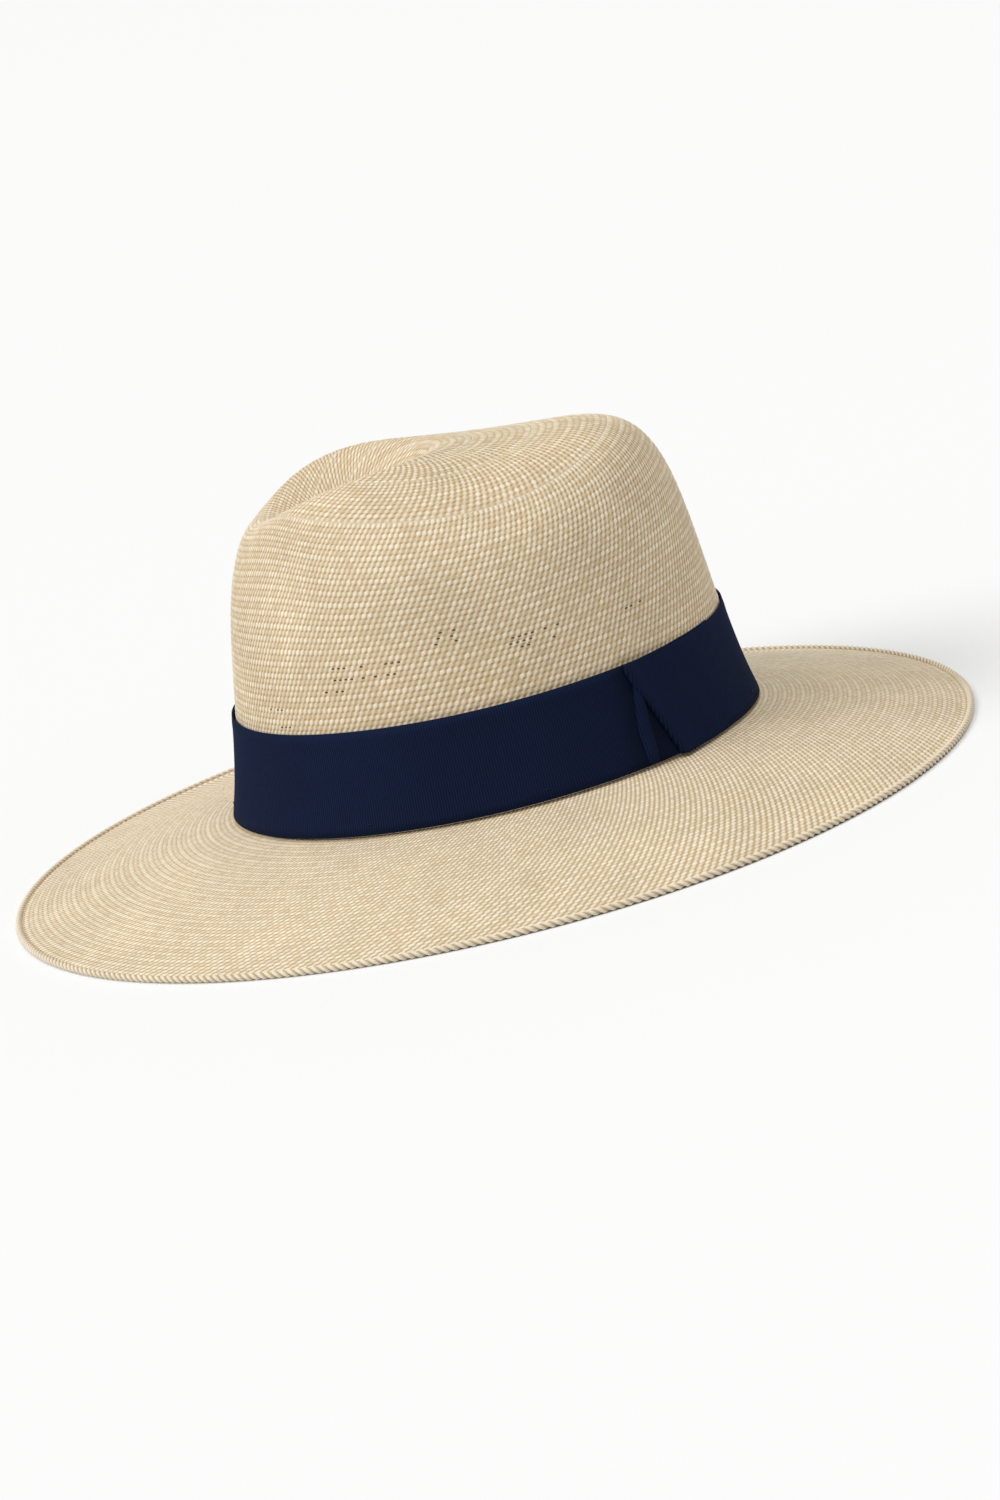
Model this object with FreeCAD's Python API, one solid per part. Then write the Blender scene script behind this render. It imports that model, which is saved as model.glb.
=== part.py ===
import FreeCAD
import Part

import math
import os

# Wide-brim straw fedora with a ribbon band, standing level on the edge of its brim.
# Millimetres. +Z is up, -Y is the front of the hat and +X is the wearer's left.
# The origin lies on the surface that the hat stands on, under the middle of the brim.

os.makedirs("parts", exist_ok=True)

Vector = FreeCAD.Vector

# Brim
BRIM_LENGTH = 372.0           # front to back, over the outline of the woven sheet
BRIM_WIDTH = 338.0            # side to side
BRIM_DROP = 19.0              # from the foot of the crown down to the edge
BRIM_CURL = 0.25              # share of the drop that comes as a curve towards the edge
STRAW = 1.4                   # thickness of the woven straw
EDGE_RADIUS = 1.7             # the back-woven roll round the outline
EDGE_FLAT = 0.25              # how far the roll is pressed flat where it stands

# Crown
CROWN_LENGTH = 204.4          # outside, at its foot
CROWN_WIDTH = 176.0
CROWN_BACKSET = 6.1           # its middle is this far behind the middle of the brim
CROWN_HEIGHT = 122.5          # the undented dome, from its foot
WALL_FULLNESS = 7.5           # exponents of the dome's side profile
TOP_FULLNESS = 3.3
LEAN_FRONT = 0.21             # how far each wall leans in, as a share of its radius
LEAN_BACK = 0.12
LEAN_SIDE = 0.07
FOOT_FLARE = 0.03             # extra spread at the foot of the wall
FLARE_HEIGHT = 15.0
FRONT_RISE = 13.5             # slope and waves of the top along Y, per 100 mm
TOP_BOW = 7.5
TOP_WAVE = 26.0
ROOF_FALL = 6.5               # the top falls away to the sides, at 60 mm out

# The teardrop dent in the top, its front lip and the two pinches beside it
DENT_DEPTH = 25.0
DENT_MIDDLE = -26.9           # Y of its middle
DENT_HALF_LENGTH = 43.0
DENT_HALF_WIDTH = 39.5
DENT_TAPER = 0.22             # it narrows towards the back
DENT_FLOOR = 0.15             # share of the dent that is its flat floor
LIP_DIP = 5.0
LIP_Y = -78.9
PINCH_DEPTH = 9.0
PINCH_Y = -62.9
PINCH_Z = 98.0
PINCH_SPREAD_Y = 20.0
PINCH_SPREAD_Z = 24.0

# Ribbon band, and the fold where its ends meet on the left
BAND_HEIGHT = 38.0
BAND_LIFT = 0.6               # above the foot of the crown
RIBBON = 0.8                  # thickness of the ribbon
RIBBON_GAP = 0.3              # between layers
FOLD_TOP_Y = 56.5             # where the fold starts at the band's upper edge
FOLD_FOOT_Y = 70.5            # and where it ends at the lower edge
FOLD_REACH = 34.0             # how far back the upper layer runs
TUCK_WIDTH = 6.0

# Sweatband inside the crown
SWEAT_HEIGHT = 32.0
SWEAT_THICKNESS = 1.0
SWEAT_GAP = 0.4
JOINT_WIDTH = 12.0            # tape over the sweatband's seam at the back
JOINT_THICKNESS = 0.5
LABEL_WIDTH = 26.0
LABEL_HEIGHT = 14.0
LABEL_THICKNESS = 0.5

# Thread
THREAD = 0.5
STITCH_LENGTH = 3.4
SWEAT_STITCHES = 72
TACK_LENGTH = 2.4
TACK_ANGLES = (-150.0, -90.0, -30.0, 8.0, 75.0, 115.0, 170.0)

# Front of the brim, which bends up and down about a line in front of the crown
HINGE_Y = -110.0
HINGE_BELOW = 10.0            # axis below the foot of the crown
HINGE_RADIUS = 13.0           # the bent strip round the axis
HINGE_GAP = 0.4

RING_POINTS = 60
FAR = 400.0

FOOT_Z = EDGE_RADIUS - EDGE_FLAT + BRIM_DROP
SPREAD = math.radians(360.0 / RING_POINTS)
WALL_LEVELS = (0.0, 0.05, 0.1, 0.16, 0.22, 0.34, 0.46, 0.57, 0.66, 0.74, 0.81, 0.87, 0.92)
TOP_RADII = (0.72, 0.64, 0.56, 0.48, 0.4, 0.32, 0.24, 0.16, 0.09)
BRIM_STEPS = (0.0, 0.12, 0.26, 0.4, 0.55, 0.7, 0.85, 1.0, 1.06)


def smooth_step(value):
    """0 below 0, 1 above 1, and a smooth rise between."""
    held = min(max(value, 0.0), 1.0)
    return held * held * (3.0 - 2.0 * held)


def wall_outline(angle, height, grow=0.0):
    """X and Y of the crown's wall at a height above its foot, moved outwards by grow."""
    share = height / CROWN_HEIGHT
    back = math.sin(angle)
    end_lean = LEAN_FRONT if back < 0 else LEAN_BACK
    lean = end_lean * back * back + LEAN_SIDE * (1.0 - back * back)
    flare = FOOT_FLARE * (1.0 - math.exp(-height / FLARE_HEIGHT))
    spread = 1.0 - lean * share - flare
    x = (CROWN_WIDTH / 2.0 * spread + grow) * math.cos(angle)
    y = (CROWN_LENGTH / 2.0 * spread + grow) * back
    return x, y


def crown_point(angle, level, radius, grow=0.0):
    """A point of the crown's surface: level and radius are shares of the dome's height and spread."""
    height = (CROWN_HEIGHT + grow) * level
    x, y = wall_outline(angle, height, grow)
    x = x * radius
    y = y * radius + CROWN_BACKSET
    along = (y - CROWN_BACKSET + 3.0) / 100.0
    swell = -FRONT_RISE * along + TOP_BOW * along ** 2 + TOP_WAVE * along ** 3
    swell = swell - ROOF_FALL * (x / 60.0) ** 2
    z = height + swell * level ** 3
    dome_z = z
    top = smooth_step((level - 0.7) / 0.2)
    run = (y - DENT_MIDDLE) / DENT_HALF_LENGTH
    width = max(DENT_HALF_WIDTH * (1.0 - DENT_TAPER * run), 4.0)
    rim = math.hypot(x / width, run)
    z = z - DENT_DEPTH * (1.0 - smooth_step((rim - DENT_FLOOR) / (1.0 - DENT_FLOOR))) * top
    z = z - LIP_DIP * math.exp(-((y - LIP_Y) / 24.0) ** 2 - (x / 26.0) ** 2) * level ** 3
    pinch = math.exp(-((y - PINCH_Y) / PINCH_SPREAD_Y) ** 2 - ((dome_z - PINCH_Z) / PINCH_SPREAD_Z) ** 2)
    pinch = pinch * PINCH_DEPTH * math.tanh(abs(x) / 24.0) ** 2
    x = x - math.copysign(pinch, x)
    y = y + 0.5 * pinch
    return Vector(x, y, FOOT_Z + z)


def ring_wire(points):
    """A closed smooth wire through a ring of points."""
    curve = Part.BSplineCurve()
    knots = [number / len(points) for number in range(len(points) + 1)]
    curve.interpolate(Points=points, PeriodicFlag=True, Parameters=knots)
    return Part.Wire([curve.toShape()])


def ring_angles():
    """The angles of a ring's points, from the left side round to the back."""
    return [number * SPREAD for number in range(RING_POINTS)]


def wall_ring(height, grow):
    """A level ring on the crown's wall, moved outwards by grow."""
    points = []
    for angle in ring_angles():
        x, y = wall_outline(angle, height, grow)
        points.append(Vector(x, y + CROWN_BACKSET, FOOT_Z + height))
    return ring_wire(points)


def wall_sleeve(low, high, inner, outer):
    """A sleeve that follows the crown's wall between two heights and two offsets."""
    steps = 4
    levels = [low + (high - low) * number / steps for number in range(steps + 1)]
    body = Part.makeLoft([wall_ring(level, outer) for level in levels], True, False)
    core = Part.makeLoft([wall_ring(level, inner) for level in levels], True, False)
    return body.cut(core)


def dome(grow):
    """The crown as a filled shape, dented and pinched."""
    rings = [wall_ring(0.0, grow)]
    for level in WALL_LEVELS[1:]:
        radius = (1.0 - level ** WALL_FULLNESS) ** (1.0 / TOP_FULLNESS)
        rings.append(ring_wire([crown_point(angle, level, radius, grow) for angle in ring_angles()]))
    for radius in TOP_RADII:
        level = (1.0 - radius ** TOP_FULLNESS) ** (1.0 / WALL_FULLNESS)
        rings.append(ring_wire([crown_point(angle, level, radius, grow) for angle in ring_angles()]))
    middle = crown_point(0.0, 1.0, 0.0, grow)
    button = Part.Circle(middle, Vector(0, 0, 1), 3.0)
    rings.append(ring_wire([button.value(angle) for angle in ring_angles()]))
    return Part.makeLoft(rings, True, False)


def make_crown():
    """The woven crown, open underneath."""
    return dome(0.0).cut(dome(-STRAW))


def brim_point(angle, reach):
    """A point on the brim's upper face: reach is 0 at the head opening and 1 at the outline."""
    x, y = wall_outline(angle, 0.0, -STRAW)
    foot = Vector(x, y + CROWN_BACKSET, 0.0)
    rim = Vector(BRIM_WIDTH / 2.0 * math.cos(angle), BRIM_LENGTH / 2.0 * math.sin(angle), 0.0)
    point = foot + (rim - foot) * reach
    fall = BRIM_DROP * ((1.0 - BRIM_CURL) * reach + BRIM_CURL * reach ** 2)
    point.z = FOOT_Z - fall
    return point


def brim_solid(drop):
    """The space under the brim's upper face, lowered by drop."""
    rings = [ring_wire([brim_point(angle, reach) for angle in ring_angles()]) for reach in BRIM_STEPS]
    solid = Part.makeLoft(rings, True, False)
    solid.translate(Vector(0, 0, -drop))
    return solid


def outline_edge(z):
    """The brim's outline as an ellipse at a height."""
    ellipse = Part.Ellipse(Vector(0, BRIM_LENGTH / 2.0, z), Vector(BRIM_WIDTH / 2.0, 0, z), Vector(0, 0, z))
    return ellipse.toShape()


def make_edge_roll():
    """The back-woven roll round the outline, pressed flat underneath."""
    middle = EDGE_RADIUS - EDGE_FLAT
    path = Part.Wire([outline_edge(middle)])
    start = path.Edges[0].valueAt(path.Edges[0].FirstParameter)
    along = path.Edges[0].tangentAt(path.Edges[0].FirstParameter)
    section = Part.Wire([Part.Circle(start, along, EDGE_RADIUS).toShape()])
    roll = path.makePipeShell([section], True, True)
    floor = Part.makeBox(FAR * 2.0, FAR * 2.0, 20.0, Vector(-FAR, -FAR, -20.0))
    return roll.cut(floor)


def make_brim(edge_roll):
    """The woven brim, from under the crown's wall out to the roll."""
    sheet = brim_solid(0.0).cut(brim_solid(STRAW))
    trim = Part.Face(Part.Wire([outline_edge(-20.0)])).extrude(Vector(0, 0, FAR))
    opening = Part.Face(wall_ring(0.0, -STRAW)).extrude(Vector(0, 0, -FAR))
    opening.translate(Vector(0, 0, FAR / 2.0))
    return sheet.common(trim).cut(opening).cut(edge_roll)


def front_zone(gap):
    """The space ahead of the bending line, outside the strip round its axis."""
    ahead = Part.makeBox(FAR * 2.0, FAR, FAR, Vector(-FAR, HINGE_Y - FAR, -FAR / 2.0))
    axis_z = FOOT_Z - HINGE_BELOW
    strip = Part.makeCylinder(HINGE_RADIUS + gap, FAR * 2.0, Vector(-FAR, HINGE_Y, axis_z), Vector(1, 0, 0))
    return ahead.cut(strip)


def make_band():
    """The ribbon once round the foot of the crown."""
    return wall_sleeve(BAND_LIFT, BAND_LIFT + BAND_HEIGHT, RIBBON_GAP, RIBBON_GAP + RIBBON)


def side_window(corners):
    """A prism along X over the hat's left side, from corners given as Y and height above the foot."""
    points = [Vector(10.0, y, FOOT_Z + height) for y, height in corners]
    face = Part.Face(Part.makePolygon(points + [points[0]]))
    return face.extrude(Vector(FAR, 0, 0))


def make_band_fold():
    """The ribbon's upper end, laid over the lower one and cut off at a slant."""
    inner = 2.0 * RIBBON_GAP + RIBBON
    layer = wall_sleeve(BAND_LIFT, BAND_LIFT + BAND_HEIGHT, inner + RIBBON_GAP, inner + RIBBON_GAP + RIBBON)
    end = FOLD_TOP_Y + FOLD_REACH
    low = BAND_LIFT - 1.0
    high = BAND_LIFT + BAND_HEIGHT + 1.0
    window = side_window([(FOLD_TOP_Y, high), (FOLD_FOOT_Y, low), (end, low), (end, high)])
    return layer.common(window)


def make_band_tuck():
    """The end that is turned under, a narrow upright strip between the two layers."""
    inner = 2.0 * RIBBON_GAP + RIBBON
    layer = wall_sleeve(BAND_LIFT + 0.4, BAND_LIFT + BAND_HEIGHT - 0.8, RIBBON_GAP + RIBBON, inner)
    low = BAND_LIFT - 1.0
    high = BAND_LIFT + BAND_HEIGHT + 1.0
    left = FOLD_TOP_Y + 0.5
    window = side_window([(left, high), (left, low), (left + TUCK_WIDTH, low), (left + TUCK_WIDTH, high)])
    return layer.common(window)


def thread_bar(centre, along, length):
    """One short length of thread."""
    direction = Vector(along)
    direction.normalize()
    start = centre - direction * (length / 2.0)
    return Part.makeCylinder(THREAD / 2.0, length, start, direction)


def make_band_tacks():
    """Small tacks that hold the ribbon's lower edge to the straw."""
    tacks = []
    height = BAND_LIFT + 4.0
    for degrees in TACK_ANGLES:
        angle = math.radians(degrees)
        x, y = wall_outline(angle, height, RIBBON_GAP + RIBBON + THREAD / 2.0)
        centre = Vector(x, y + CROWN_BACKSET, FOOT_Z + height)
        ahead_x, ahead_y = wall_outline(angle + 0.02, height, RIBBON_GAP + RIBBON + THREAD / 2.0)
        along = Vector(ahead_x - x, ahead_y - y, 0.0)
        tacks.append(thread_bar(centre, along, TACK_LENGTH))
    return Part.makeCompound(tacks)


def make_sweatband():
    """The strip inside the crown that rests on the head."""
    outer = -STRAW - SWEAT_GAP
    return wall_sleeve(0.2, SWEAT_HEIGHT, outer - SWEAT_THICKNESS, outer)


def sweat_patch(width, low, high, thickness):
    """A patch on the inner face of the sweatband, centred at the back."""
    outer = -STRAW - SWEAT_GAP - SWEAT_THICKNESS
    layer = wall_sleeve(low, high, outer - thickness, outer)
    window = Part.makeBox(width, FAR, FAR, Vector(-width / 2.0, CROWN_BACKSET, -FAR / 2.0))
    return layer.common(window)


def make_sweatband_joint():
    """Tape over the seam where the sweatband's ends meet at the back."""
    return sweat_patch(JOINT_WIDTH, 0.2, SWEAT_HEIGHT, JOINT_THICKNESS)


def make_size_label():
    """A blank label sewn to the sweatband beside the seam."""
    outer = -STRAW - SWEAT_GAP - SWEAT_THICKNESS
    low = (SWEAT_HEIGHT - LABEL_HEIGHT) / 2.0
    layer = wall_sleeve(low, low + LABEL_HEIGHT, outer - LABEL_THICKNESS, outer)
    left = JOINT_WIDTH / 2.0 + 6.0
    window = Part.makeBox(LABEL_WIDTH, FAR, FAR, Vector(left, CROWN_BACKSET, -FAR / 2.0))
    return layer.common(window)


def make_sweatband_stitches():
    """The row of stitches along the foot of the sweatband."""
    stitches = []
    height = 3.0
    inset = -STRAW - SWEAT_GAP - SWEAT_THICKNESS - THREAD / 2.0
    for number in range(SWEAT_STITCHES):
        angle = 2.0 * math.pi * (number + 0.5) / SWEAT_STITCHES
        x, y = wall_outline(angle, height, inset)
        joint = y > 0 and abs(x) < JOINT_WIDTH / 2.0 + STITCH_LENGTH
        if joint:
            continue
        ahead_x, ahead_y = wall_outline(angle + 0.01, height, inset)
        centre = Vector(x, y + CROWN_BACKSET, FOOT_Z + height)
        stitches.append(thread_bar(centre, Vector(ahead_x - x, ahead_y - y, 0.0), STITCH_LENGTH))
    return Part.makeCompound(stitches)


def save(shape, node):
    """Write one node, and say how big it is."""
    solids = shape.Solids
    whole = solids[0] if len(solids) == 1 else Part.makeCompound(solids)
    whole.exportStep("parts/" + node + ".step")
    box = whole.BoundBox
    print(node, "solids", len(solids), "valid", whole.isValid(), "volume", round(whole.Volume, 1),
          "box", round(box.XLength, 1), round(box.YLength, 1), round(box.ZLength, 1))


def main():
    edge_roll = make_edge_roll()
    brim = make_brim(edge_roll)
    save(make_crown(), "straw_crown")
    save(brim.cut(front_zone(0.0)), "straw_brim")
    save(brim.common(front_zone(HINGE_GAP)), "straw_brim_front")
    save(edge_roll.cut(front_zone(0.0)), "brim_edge")
    save(edge_roll.common(front_zone(HINGE_GAP)), "brim_edge_front")
    save(make_band(), "hat_band")
    save(make_band_fold(), "band_fold")
    save(make_band_tuck(), "band_tuck")
    save(make_band_tacks(), "band_tacks")
    save(make_sweatband(), "sweatband")
    save(make_sweatband_joint(), "sweatband_joint")
    save(make_sweatband_stitches(), "sweatband_stitches")
    save(make_size_label(), "size_label")


main()
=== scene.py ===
"""A wide-brim woven straw fedora with a grosgrain ribbon, built around its CAD frame.

The shape formulas work in millimetres, and every mesh is placed in metres.
+Z is up, -Y is the front of the hat and +X is the wearer's left.
"""
import math

import bmesh
import bpy
import numpy
from bpy.props import FloatProperty, FloatVectorProperty, IntProperty, PointerProperty
from mathutils import Matrix, Vector


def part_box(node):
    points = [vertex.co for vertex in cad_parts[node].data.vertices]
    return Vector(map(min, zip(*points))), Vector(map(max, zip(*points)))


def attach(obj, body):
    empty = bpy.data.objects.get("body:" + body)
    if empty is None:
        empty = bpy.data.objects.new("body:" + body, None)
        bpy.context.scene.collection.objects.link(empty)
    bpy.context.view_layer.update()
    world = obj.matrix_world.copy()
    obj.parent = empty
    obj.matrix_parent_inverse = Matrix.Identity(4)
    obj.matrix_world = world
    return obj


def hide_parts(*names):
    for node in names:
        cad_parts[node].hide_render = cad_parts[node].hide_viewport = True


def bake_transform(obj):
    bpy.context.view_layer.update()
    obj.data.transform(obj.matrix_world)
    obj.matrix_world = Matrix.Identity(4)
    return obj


bl_info = {
    "name": "Straw fedora",
    "version": (1, 0, 0),
    "blender": (4, 5, 0),
    "location": "View3D > Sidebar > Hat",
    "description": "Builds a woven straw fedora with its ribbon and sweatband",
    "category": "Object",
}

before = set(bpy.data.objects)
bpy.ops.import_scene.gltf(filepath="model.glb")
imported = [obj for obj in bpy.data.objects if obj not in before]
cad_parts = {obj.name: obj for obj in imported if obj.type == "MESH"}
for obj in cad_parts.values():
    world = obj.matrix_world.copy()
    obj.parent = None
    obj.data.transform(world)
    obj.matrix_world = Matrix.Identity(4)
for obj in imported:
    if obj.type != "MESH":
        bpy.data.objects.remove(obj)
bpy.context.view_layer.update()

MM = 0.001
BODY = "hat"

# Edge roll, and the brim's outline inside it
EDGE_RADIUS = 1.7
EDGE_FLAT = 0.25
BRIM_LENGTH = (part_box("brim_edge")[1].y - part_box("brim_edge_front")[0].y) / MM - 2.0 * EDGE_RADIUS
BRIM_WIDTH = (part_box("brim_edge")[1].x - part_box("brim_edge")[0].x) / MM - 2.0 * EDGE_RADIUS
BRIM_CURL = 0.25
STRAW = 1.4

# Crown
BAND_LIFT = 0.6
BAND_HEIGHT = (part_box("hat_band")[1].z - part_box("hat_band")[0].z) / MM
FOOT_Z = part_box("hat_band")[0].z / MM - BAND_LIFT
BRIM_DROP = FOOT_Z - EDGE_RADIUS + EDGE_FLAT
CROWN_LENGTH = 204.4
CROWN_WIDTH = 176.0
CROWN_BACKSET = 6.1
CROWN_HEIGHT = 122.5
WALL_FULLNESS = 7.5
TOP_FULLNESS = 3.3
LEAN_FRONT = 0.21
LEAN_BACK = 0.12
LEAN_SIDE = 0.07
FOOT_FLARE = 0.03
FLARE_HEIGHT = 15.0
FRONT_RISE = 13.5
TOP_BOW = 7.5
TOP_WAVE = 26.0
SWELL_START = -3.0            # Y, off the crown's middle, about which the top rises and falls
SWELL_LENGTH = 100.0
ROOF_FALL = 6.5
ROOF_REACH = 60.0             # X at which the top has fallen by ROOF_FALL
EYE_SHIFT = -28.0             # moves the middle of the weave's rings forward, into the dent

# Dent, lip and pinches
DENT_DEPTH = 25.0
DENT_MIDDLE = -26.9
DENT_HALF_LENGTH = 43.0
DENT_HALF_WIDTH = 39.5
DENT_TAPER = 0.22
DENT_LEAST_WIDTH = 4.0
DENT_FLOOR = 0.15
DENT_LEVEL = 0.7              # share of the crown's height at which the dent starts
DENT_LEVEL_REACH = 0.2
LIP_DIP = 5.0
LIP_Y = -78.9
LIP_REACH_Y = 24.0
LIP_REACH_X = 26.0
PINCH_DEPTH = 9.0
PINCH_Y = -62.9
PINCH_Z = 98.0
PINCH_SPREAD_Y = 20.0
PINCH_SPREAD_Z = 24.0
PINCH_SPREAD_X = 24.0
PINCH_BACK = 0.5              # share of the pinch that also goes backwards

# Ribbon's outer face, off the crown's wall, and the painted shade in the pocket beside its fold
RIBBON_FACE = 1.1
FOLD_SHADE_Y = 61.0
FOLD_SHADE_REACH = 8.0
TACK_DEGREES = (-150.0, -90.0, -30.0, 8.0, 75.0, 115.0, 170.0)

# Open places in the crown's weave, as (degrees round from the left, row, strands wide, rows high)
CROWN_GAPS = (
    (-57.0, 22, 4, 1),
    (-53.0, 19, 3, 1),
    (-40.0, 25, 6, 1),
    (-35.0, 27, 12, 1),
    (-34.0, 29, 12, 1),
    (-8.0, 31, 4, 3),
    (8.0, 27, 7, 2),
    (9.0, 29, 8, 1),
    (37.0, 27, 4, 1))

GAP_SHARE = 0.35              # share of the places in a group that stay closed

# Sweatband
SWEAT_HEIGHT = 32.0
SWEAT_FACE = -STRAW - 0.4 - 1.0
SWEAT_RIBS = 270
JOINT_HALF = 6.0
TAPE_RIBS = 900.0
STITCHES = 72
STITCH_HEIGHT = 3.0
STITCH_GAP = 0.0094           # half the stretch at the back, in metres, that has no stitches

# A point in metres: brim pieces that reach forward of its Y are left off the hat's body
SNAP_START = (0.0, -0.106, 0.0)

# Weave: each column and row of the lattice has this many mesh samples
COLUMN_SAMPLES = 4
ROW_SAMPLES = 4
SLANT = 0.25                  # columns that a strand leans in one row
STRAND_REACH = 0.66           # half a strand's length, in rows
REACH_SPREAD = 0.30           # share by which strands differ in length
PALE_SPREAD = 0.34            # share by which strands differ in paleness
STAND_SPREAD = 0.22           # share by which strands differ in height
VALLEY = 0.15                 # the lowest points of the weave, off its middle surface
FOOT_SHADE_ROWS = 3.0             # rows from the crown's foot over which the brim's painted light fades in, leaving painted shade next to the crown
EDGE_RELIEF = 0.6             # relief along a piece's first and last row, where pieces meet
FIRST_ROW = (0.41, 1.0, 1.08) # half width in columns, height and paleness of the strands in even rows
SECOND_ROW = (0.36, 0.93, 0.98)
LOWER_HEIGHT = 0.45           # height of the strands that lie lower, between the others
ZONE_SHRINK = 0.7             # share of the pitch at which the strands get fewer
COLUMN_STEP = 6               # zones have a multiple of this many strands
TRIANGLE_LIMIT = 190000       # for one piece of weave
WALL_TOP_LEVEL = 0.93         # where the crown's profile is followed by radius instead of level


# Camera, in metres and degrees
LENS = 91.9
LENS_SHIFT = (0.0078, 0.0013)
CAMERA_DISTANCE = 1.460
CAMERA_RISE = 14.92
CAMERA_ROLL = -13.84
CAMERA_AIM_Y = 0.0031


def smooth_step(value):
    """0 below 0, 1 above 1, and a smooth rise between."""
    held = numpy.clip(value, 0.0, 1.0)
    return held * held * (3.0 - 2.0 * held)


def wall_outline(angle, height, grow):
    """X and Y of the crown's wall at a height above its foot, moved outwards by grow."""
    share = height / CROWN_HEIGHT
    back = numpy.sin(angle)
    end_lean = numpy.where(back < 0, LEAN_FRONT, LEAN_BACK)
    lean = end_lean * back * back + LEAN_SIDE * (1.0 - back * back)
    flare = FOOT_FLARE * (1.0 - numpy.exp(-height / FLARE_HEIGHT))
    spread = 1.0 - lean * share - flare
    x = (CROWN_WIDTH / 2.0 * spread + grow) * numpy.cos(angle)
    y = (CROWN_LENGTH / 2.0 * spread + grow) * back
    return x, y


def crown_point(angle, profile, grow):
    """Points of the crown: profile runs from 0 at the foot over 1 at the shoulder to 2 at the middle."""
    shoulder = (1.0 - WALL_TOP_LEVEL ** WALL_FULLNESS) ** (1.0 / TOP_FULLNESS)
    low = profile <= 1.0
    level_low = WALL_TOP_LEVEL * numpy.minimum(profile, 1.0)
    radius_low = (1.0 - level_low ** WALL_FULLNESS) ** (1.0 / TOP_FULLNESS)
    radius_high = shoulder * (2.0 - numpy.maximum(profile, 1.0))
    level_high = (1.0 - radius_high ** TOP_FULLNESS) ** (1.0 / WALL_FULLNESS)
    level = numpy.where(low, level_low, level_high)
    radius = numpy.where(low, radius_low, radius_high)
    height = (CROWN_HEIGHT + grow) * level
    x, y = wall_outline(angle, height, grow)
    x = x * radius
    y = y * radius + CROWN_BACKSET + EYE_SHIFT * (1.0 - radius) ** 2
    along = (y - CROWN_BACKSET - SWELL_START) / SWELL_LENGTH
    swell = -FRONT_RISE * along + TOP_BOW * along ** 2 + TOP_WAVE * along ** 3
    swell = swell - ROOF_FALL * (x / ROOF_REACH) ** 2
    z = height + swell * level ** 3
    dome_z = z
    top = smooth_step((level - DENT_LEVEL) / DENT_LEVEL_REACH)
    run = (y - DENT_MIDDLE) / DENT_HALF_LENGTH
    width = numpy.maximum(DENT_HALF_WIDTH * (1.0 - DENT_TAPER * run), DENT_LEAST_WIDTH)
    rim = numpy.hypot(x / width, run)
    z = z - DENT_DEPTH * (1.0 - smooth_step((rim - DENT_FLOOR) / (1.0 - DENT_FLOOR))) * top
    lip = numpy.exp(-((y - LIP_Y) / LIP_REACH_Y) ** 2 - (x / LIP_REACH_X) ** 2)
    z = z - LIP_DIP * lip * level ** 3
    pinch = numpy.exp(-((y - PINCH_Y) / PINCH_SPREAD_Y) ** 2 - ((dome_z - PINCH_Z) / PINCH_SPREAD_Z) ** 2)
    pinch = pinch * PINCH_DEPTH * numpy.tanh(numpy.abs(x) / PINCH_SPREAD_X) ** 2
    x = x - numpy.sign(x) * pinch
    y = y + PINCH_BACK * pinch
    return numpy.stack((x, y, FOOT_Z + z), axis=-1)


def profile_table():
    """The mean length of the crown's profile against its parameter, and the mean girth there."""
    profile = numpy.linspace(0.0, 2.0, 401)
    around = numpy.linspace(0.0, 2.0 * math.pi, 73)
    points = crown_point(around[None, :], profile[:, None], -STRAW / 2.0)
    steps = numpy.linalg.norm(numpy.diff(points, axis=0), axis=2).mean(axis=1)
    girth = numpy.linalg.norm(numpy.diff(points, axis=1), axis=2).sum(axis=1)
    length = numpy.concatenate(([0.0], numpy.cumsum(steps)))
    return profile, length, girth


PROFILE, PROFILE_LENGTH, PROFILE_GIRTH = profile_table()


def crown_place(rows):
    """A function from angle and row to points of the crown's middle surface, for evenly spaced rows."""
    def place(angle, row):
        length = row / rows * PROFILE_LENGTH[-1]
        profile = numpy.interp(length, PROFILE_LENGTH, PROFILE)
        return crown_point(angle, profile, -STRAW / 2.0)
    return place


def brim_place(rows):
    """A function from angle and row to points of the brim's middle surface."""
    def place(angle, row):
        reach = row / rows
        foot_x, foot_y = wall_outline(angle, 0.0 * angle, -STRAW)
        foot_y = foot_y + CROWN_BACKSET
        x = foot_x + (BRIM_WIDTH / 2.0 * numpy.cos(angle) - foot_x) * reach
        y = foot_y + (BRIM_LENGTH / 2.0 * numpy.sin(angle) - foot_y) * reach
        fall = BRIM_DROP * ((1.0 - BRIM_CURL) * reach + BRIM_CURL * reach ** 2)
        return numpy.stack((x, y, FOOT_Z - fall - STRAW / 2.0), axis=-1)
    return place


def strand_chance(column, row, turn):
    """A fixed number from 0 to 1 for each strand, with no pattern that shows."""
    return numpy.mod(numpy.abs(numpy.sin(12.9898 * column + 78.233 * row + turn)) * 43758.5453, 1.0)


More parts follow.
